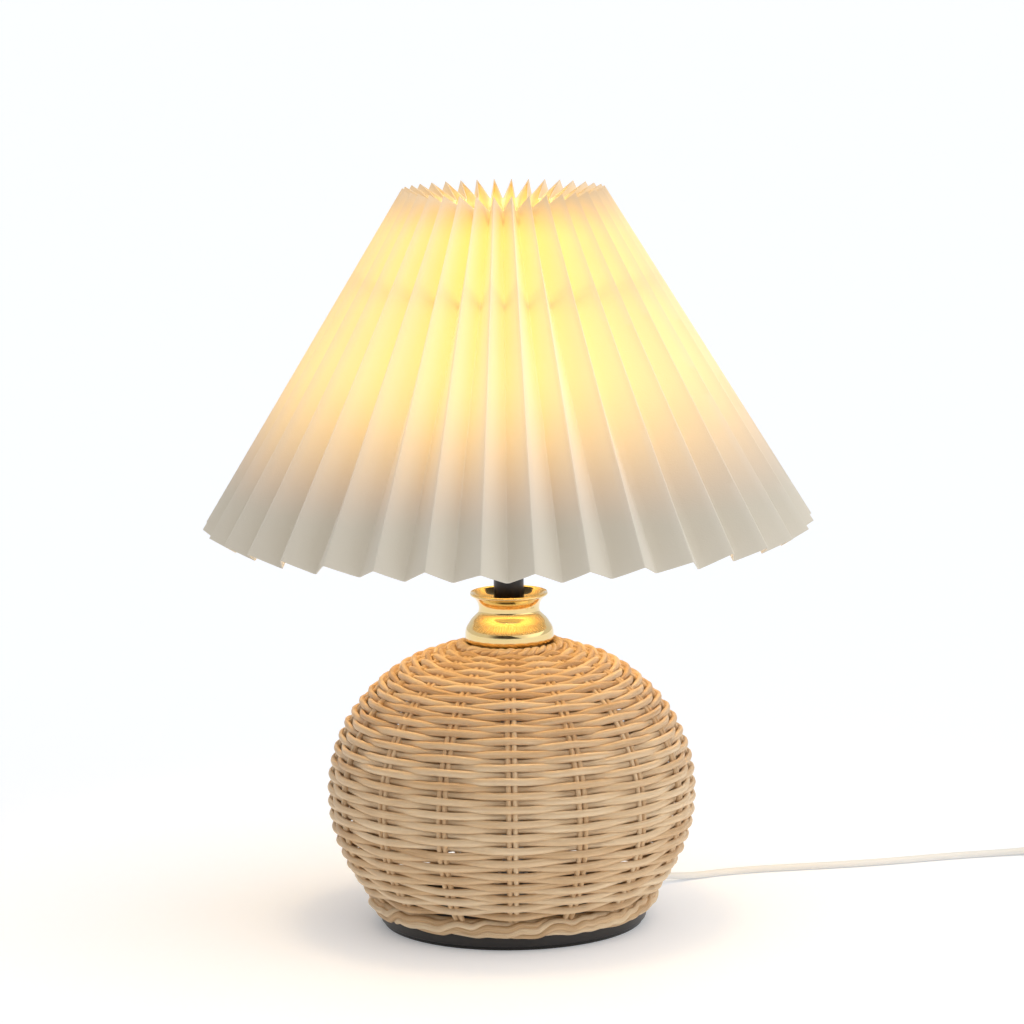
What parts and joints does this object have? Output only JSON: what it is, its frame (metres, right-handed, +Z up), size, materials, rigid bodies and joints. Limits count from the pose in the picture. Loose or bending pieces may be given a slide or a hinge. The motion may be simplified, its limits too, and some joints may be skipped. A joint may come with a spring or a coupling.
{
  "type": "table lamp with shade",
  "caption": "Table lamp with a pleated cone shade on a screw lamp holder, a turned brass neck, a woven rattan ball on a round weighted base, and a mains lead with switch and plug.",
  "frame": {"origin": "centre of the underside of the base pad, on the surface the lamp stands on", "axes": "+Z up along the lamp's axis, -Y towards the viewer of the front, the lead leaves at the rear right"},
  "size_m": [0.5006, 0.279, 0.3394],
  "materials": {
    "felt": "dense felt",
    "painted_base": "satin black paint",
    "zinc_steel": "zinc plated",
    "rattan": "natural peeled rattan, unvarnished",
    "plywood": "sanded",
    "polished_brass": "polished and lacquered",
    "black_plastic": "moulded thermoplastic",
    "ceramic": "unglazed steatite",
    "contact_copper": "spring alloy",
    "cap_nickel": "nickel plated",
    "lamp_plastic": "moulded",
    "opal": "opal diffuser, lit",
    "circuit_board": "white solder mask",
    "shade_cloth": "pleated laminated cloth, lit from inside",
    "white_wire": "white powder coat",
    "pvc": "white flexible PVC",
    "tie": "matt"
  },
  "bodies": {
    "root": {"base_pad": "felt", "base_plate": "painted_base", "base_flange": "zinc_steel", "flange_screw_1": "zinc_steel", "flange_screw_2": "zinc_steel", "flange_screw_3": "zinc_steel", "base_lock_nut": "zinc_steel", "threaded_tube": "zinc_steel", "bottom_border": "rattan", "woven_wall": "rattan", "stake_cage": "rattan", "top_disc": "plywood", "top_disc_lower_nut": "zinc_steel", "top_disc_washer": "zinc_steel", "top_disc_nut": "zinc_steel", "brass_neck": "polished_brass", "neck_washer": "zinc_steel", "holder_base": "black_plastic", "holder_insert": "ceramic", "screw_shell": "contact_copper", "centre_contact": "contact_copper", "holder_sleeve": "black_plastic", "inner_lead": "pvc", "strain_relief": "pvc", "cord_to_switch": "pvc", "cord_to_coil": "pvc", "cord_to_plug": "pvc", "cord_coil": "pvc", "coil_tie": "tie", "switch_lower_shell": "lamp_plastic", "switch_upper_shell": "lamp_plastic", "switch_screw_1": "zinc_steel", "switch_screw_2": "zinc_steel", "rocker_pin": "zinc_steel", "switch_contact": "contact_copper", "plug_body": "pvc", "plug_pin_1": "cap_nickel", "plug_pin_2": "cap_nickel"},
    "bulb_tip": {"bulb_tip_contact": "cap_nickel"},
    "bulb": {"bulb_insulator": "black_plastic", "bulb_cap": "cap_nickel", "bulb_body": "lamp_plastic", "led_board": "circuit_board", "bulb_driver": "circuit_board", "bulb_dome": "opal"},
    "shade": {"shade_cover": "shade_cloth", "shade_top_ring": "white_wire", "shade_lower_ring": "white_wire", "fitter_ring": "white_wire", "shade_arm_1": "white_wire", "shade_arm_2": "white_wire", "shade_arm_3": "white_wire", "shade_strut_1": "white_wire", "shade_strut_2": "white_wire", "shade_strut_3": "white_wire"},
    "ring_nut": {"shade_ring_nut": "black_plastic"},
    "rocker": {"switch_rocker": "lamp_plastic"}
  },
  "joints": [
    {"name": "bulb_rise", "type": "slide", "parent": "root", "child": "bulb_tip", "axis": [0, 0, 1], "range_m": [0, 0.0218]},
    {"name": "bulb_turn", "type": "hinge", "parent": "bulb_tip", "child": "bulb", "pos_m": [0, 0, 0.19], "axis": [0, 0, 1], "range_deg": [0, 2160]},
    {"name": "shade_turn", "type": "hinge", "parent": "root", "child": "shade", "pos_m": [0, 0, 0.1927], "axis": [0, 0, 1], "continuous": true},
    {"name": "ring_nut_turn", "type": "hinge", "parent": "root", "child": "ring_nut", "pos_m": [0, 0, 0.1975], "axis": [0, 0, 1], "range_deg": [0, 90]},
    {"name": "switch_rock", "type": "hinge", "parent": "root", "child": "rocker", "pos_m": [0.2983, 0.109, 0.0107], "axis": [0, 1, 0], "range_deg": [-16, 0]}
  ],
  "couplings": [
    {"joint": "bulb_rise", "follows": "bulb_turn", "m_per_rad": 0.00057614}
  ]
}
